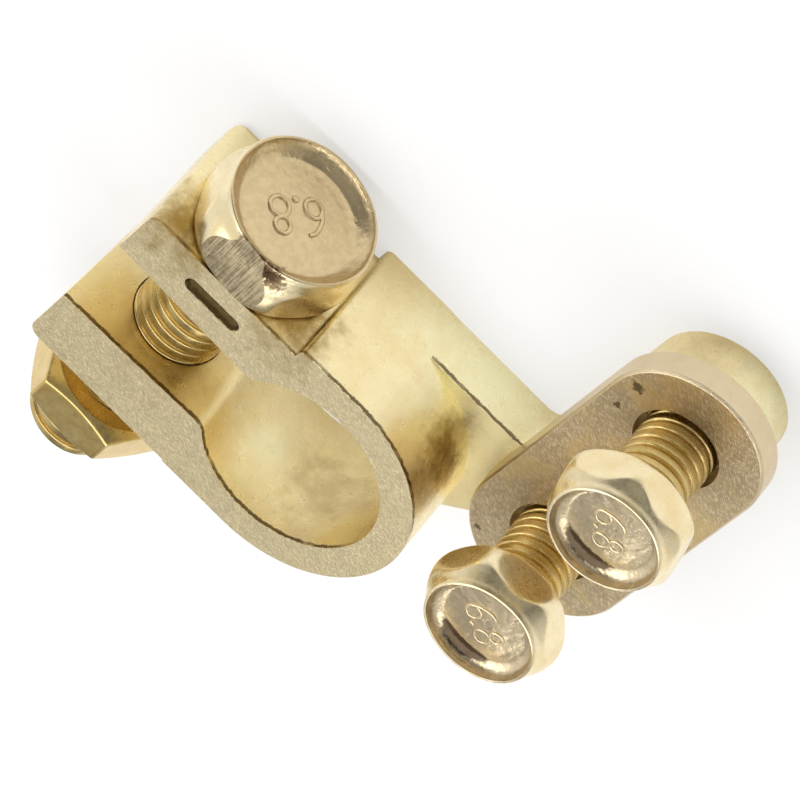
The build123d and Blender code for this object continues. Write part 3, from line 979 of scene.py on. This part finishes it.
# %% Plated pieces
FINISHES = {
    "clamp_bolt_head": bolt_finish,
    "clamp_bolt_thread": thread_finish_with_painted_shade,
    "clamp_nut_hex": golden_finish,
    "cable_screw_head_near": screw_finish,
    "cable_screw_head_far": screw_finish,
    "cable_screw_thread_near": golden_finish,
    "cable_screw_thread_far": thread_finish_with_painted_shade,
}
for name, plated in FINISHES.items():
    bpy.data.objects[name].data.materials.append(plated)
print("finishes:", sorted({plated.name for plated in FINISHES.values()}))

# %% [markdown]
# ## Floor
# A plain pale floor. A bit more than half of what the camera sees of it is plain white, and the rest is its
# own paint, lit by the room, so the object's shadow stays but is light. Polished walls see mostly the paint.

# %% Floor
FLOOR_HALF = 6.0
FLOOR_PAINT = (0.94, 0.94, 0.94, 1)
WHITE_TO_CAMERA = 0.55
WHITE_TO_MIRRORS = 0.15


def floor_piece(half):
    """Large flat square under the object, part paint and part plain white to camera and mirror rays."""
    mesh = bpy.data.meshes.new("floor")
    square = [(-half, -half, 0), (half, -half, 0), (half, half, 0), (-half, half, 0)]
    mesh.from_pydata(square, [], [(0, 1, 2, 3)])
    floor = bpy.data.objects.new("floor", mesh)
    bpy.context.scene.collection.objects.link(floor)
    paint = Finish("pale_floor", metallic=0.0)
    paint.shader.inputs["Base Color"].default_value = FLOOR_PAINT
    paint.shader.inputs["Roughness"].default_value = 0.9
    paint.shader.inputs["Specular IOR Level"].default_value = 0.0
    ray = paint.nodes.new("ShaderNodeLightPath")
    seen = paint.times(ray.outputs["Is Camera Ray"], WHITE_TO_CAMERA)
    mirrored = paint.times(ray.outputs["Is Glossy Ray"], WHITE_TO_MIRRORS)
    white = paint.nodes.new("ShaderNodeEmission")
    blend = paint.nodes.new("ShaderNodeMixShader")
    paint.links.new(paint.plus(seen, mirrored), blend.inputs[0])
    paint.links.new(paint.shader.outputs[0], blend.inputs[1])
    paint.links.new(white.outputs[0], blend.inputs[2])
    paint.links.new(blend.outputs[0], paint.nodes["Material Output"].inputs["Surface"])
    mesh.materials.append(paint.material)
    return floor


floor = floor_piece(FLOOR_HALF)
print("floor half width", FLOOR_HALF, "m")

# %% [markdown]
# ## Room light
# Metal shows the room, so the room matters as much as the lamps. This one is dim, with a broad soft glow
# from the ears' side, a smaller one from the cable's side, and two faint ones, in front of the heads and
# behind the ring, that keep facets turned there from going black.

# %% Room light
ROOM_LEVEL = 0.17
GLOW_CORE = 0.97
GLOWS = [
    # direction, cosine where the glow starts, strength in its middle
    ((-0.80, -0.42, 0.42), 0.45, 0.72),
    ((0.97, -0.05, 0.24), 0.55, 0.50),
    ((-0.09, 0.77, 0.64), 0.80, 0.17),
    ((0.09, -0.72, 0.69), 0.55, 0.08),
]


def glow(nodes, links, way, edge, base, strength):
    """Base level away from a direction, rising smoothly by the strength towards it."""
    dot = nodes.new("ShaderNodeVectorMath")
    dot.operation = "DOT_PRODUCT"
    links.new(nodes.new("ShaderNodeTexCoord").outputs["Generated"], dot.inputs[0])
    dot.inputs[1].default_value = Vector(way).normalized()
    step = nodes.new("ShaderNodeMapRange")
    step.interpolation_type = "SMOOTHSTEP"
    step.inputs["From Min"].default_value = edge
    step.inputs["From Max"].default_value = GLOW_CORE
    step.inputs["To Min"].default_value = base
    step.inputs["To Max"].default_value = base + strength
    links.new(dot.outputs["Value"], step.inputs["Value"])
    return step.outputs["Result"]


def room_light(level, glows):
    """World of one dim level plus glows, summed one after the other."""
    world = bpy.data.worlds.new("room")
    world.use_nodes = True
    nodes, links = world.node_tree.nodes, world.node_tree.links
    total = glow(nodes, links, *glows[0][:2], level, glows[0][2])
    for way, edge, strength in glows[1:]:
        both = nodes.new("ShaderNodeMath")
        both.operation = "ADD"
        links.new(total, both.inputs[0])
        links.new(glow(nodes, links, way, edge, 0.0, strength), both.inputs[1])
        total = both.outputs["Value"]
    links.new(total, nodes["Background"].inputs["Strength"])
    nodes["Background"].inputs["Color"].default_value = (1, 1, 1, 1)
    return world


bpy.context.scene.world = room_light(ROOM_LEVEL, GLOWS)
print("room light made")

# %% [markdown]
# ## Softbox
# One wide softbox hangs low over the object. Because it is near, flat tops see it only partly and stay
# darker than the walls, which mirror the lit floor. A small dim card low behind the ring adds a soft glint
# to lips and edges.

# %% Softbox
def softbox(name, place, wide, deep, watts):
    """Rectangular soft lamp. It shines along its own -Z, so its Z points away from the object."""
    light = bpy.data.lights.new(name, "AREA")
    light.shape = "RECTANGLE"
    light.size = wide
    light.size_y = deep
    light.energy = watts
    piece = bpy.data.objects.new(name, light)
    bpy.context.scene.collection.objects.link(piece)
    piece.location = place
    piece.rotation_euler = Vector(place).to_track_quat("Z", "Y").to_euler()


softbox("softbox", (0.0, 0.0, 0.55), wide=1.15, deep=0.50, watts=3.65)
softbox("back_card", (0.10, -0.13, 0.13), wide=0.07, deep=0.07, watts=0.030)
print("softboxes made")

# %% [markdown]
# ## Camera
# A long lens from two thirds of a metre away keeps parallel edges nearly parallel. The camera looks down on
# the ring from the bolt head's side. Its matrix is built from the directions to its right, up and forward,
# because a camera looks along its own -Z. A small shift puts the object where it belongs in the frame.

# %% Camera
PLACE = Vector((-0.0599986, 0.5160741, 0.4307612))
FORWARD = Vector((0.09379111, -0.76547239, -0.63659662))
RIGHT = Vector((0.7074497, 0.50114351, -0.49836744))
UP = RIGHT.cross(FORWARD)
FRAME_PIXELS = 800
FOCAL_PIXELS = 7034.69
SHIFT_PIXELS = (7.336, -3.0035)
SENSOR = 36

camera = bpy.data.objects.new("camera", bpy.data.cameras.new("camera"))
bpy.context.scene.collection.objects.link(camera)
camera.matrix_world = Matrix((
    (RIGHT.x, UP.x, -FORWARD.x, PLACE.x),
    (RIGHT.y, UP.y, -FORWARD.y, PLACE.y),
    (RIGHT.z, UP.z, -FORWARD.z, PLACE.z),
    (0, 0, 0, 1),
))
camera.data.sensor_width = SENSOR
camera.data.lens = FOCAL_PIXELS / FRAME_PIXELS * SENSOR
camera.data.shift_x = SHIFT_PIXELS[0] / FRAME_PIXELS
camera.data.shift_y = SHIFT_PIXELS[1] / FRAME_PIXELS
camera.data.clip_start = 0.01
camera.data.clip_end = 30
bpy.context.scene.camera = camera
bpy.context.scene.view_settings.view_transform = "Standard"
print("camera lens", round(camera.data.lens, 1), "mm")
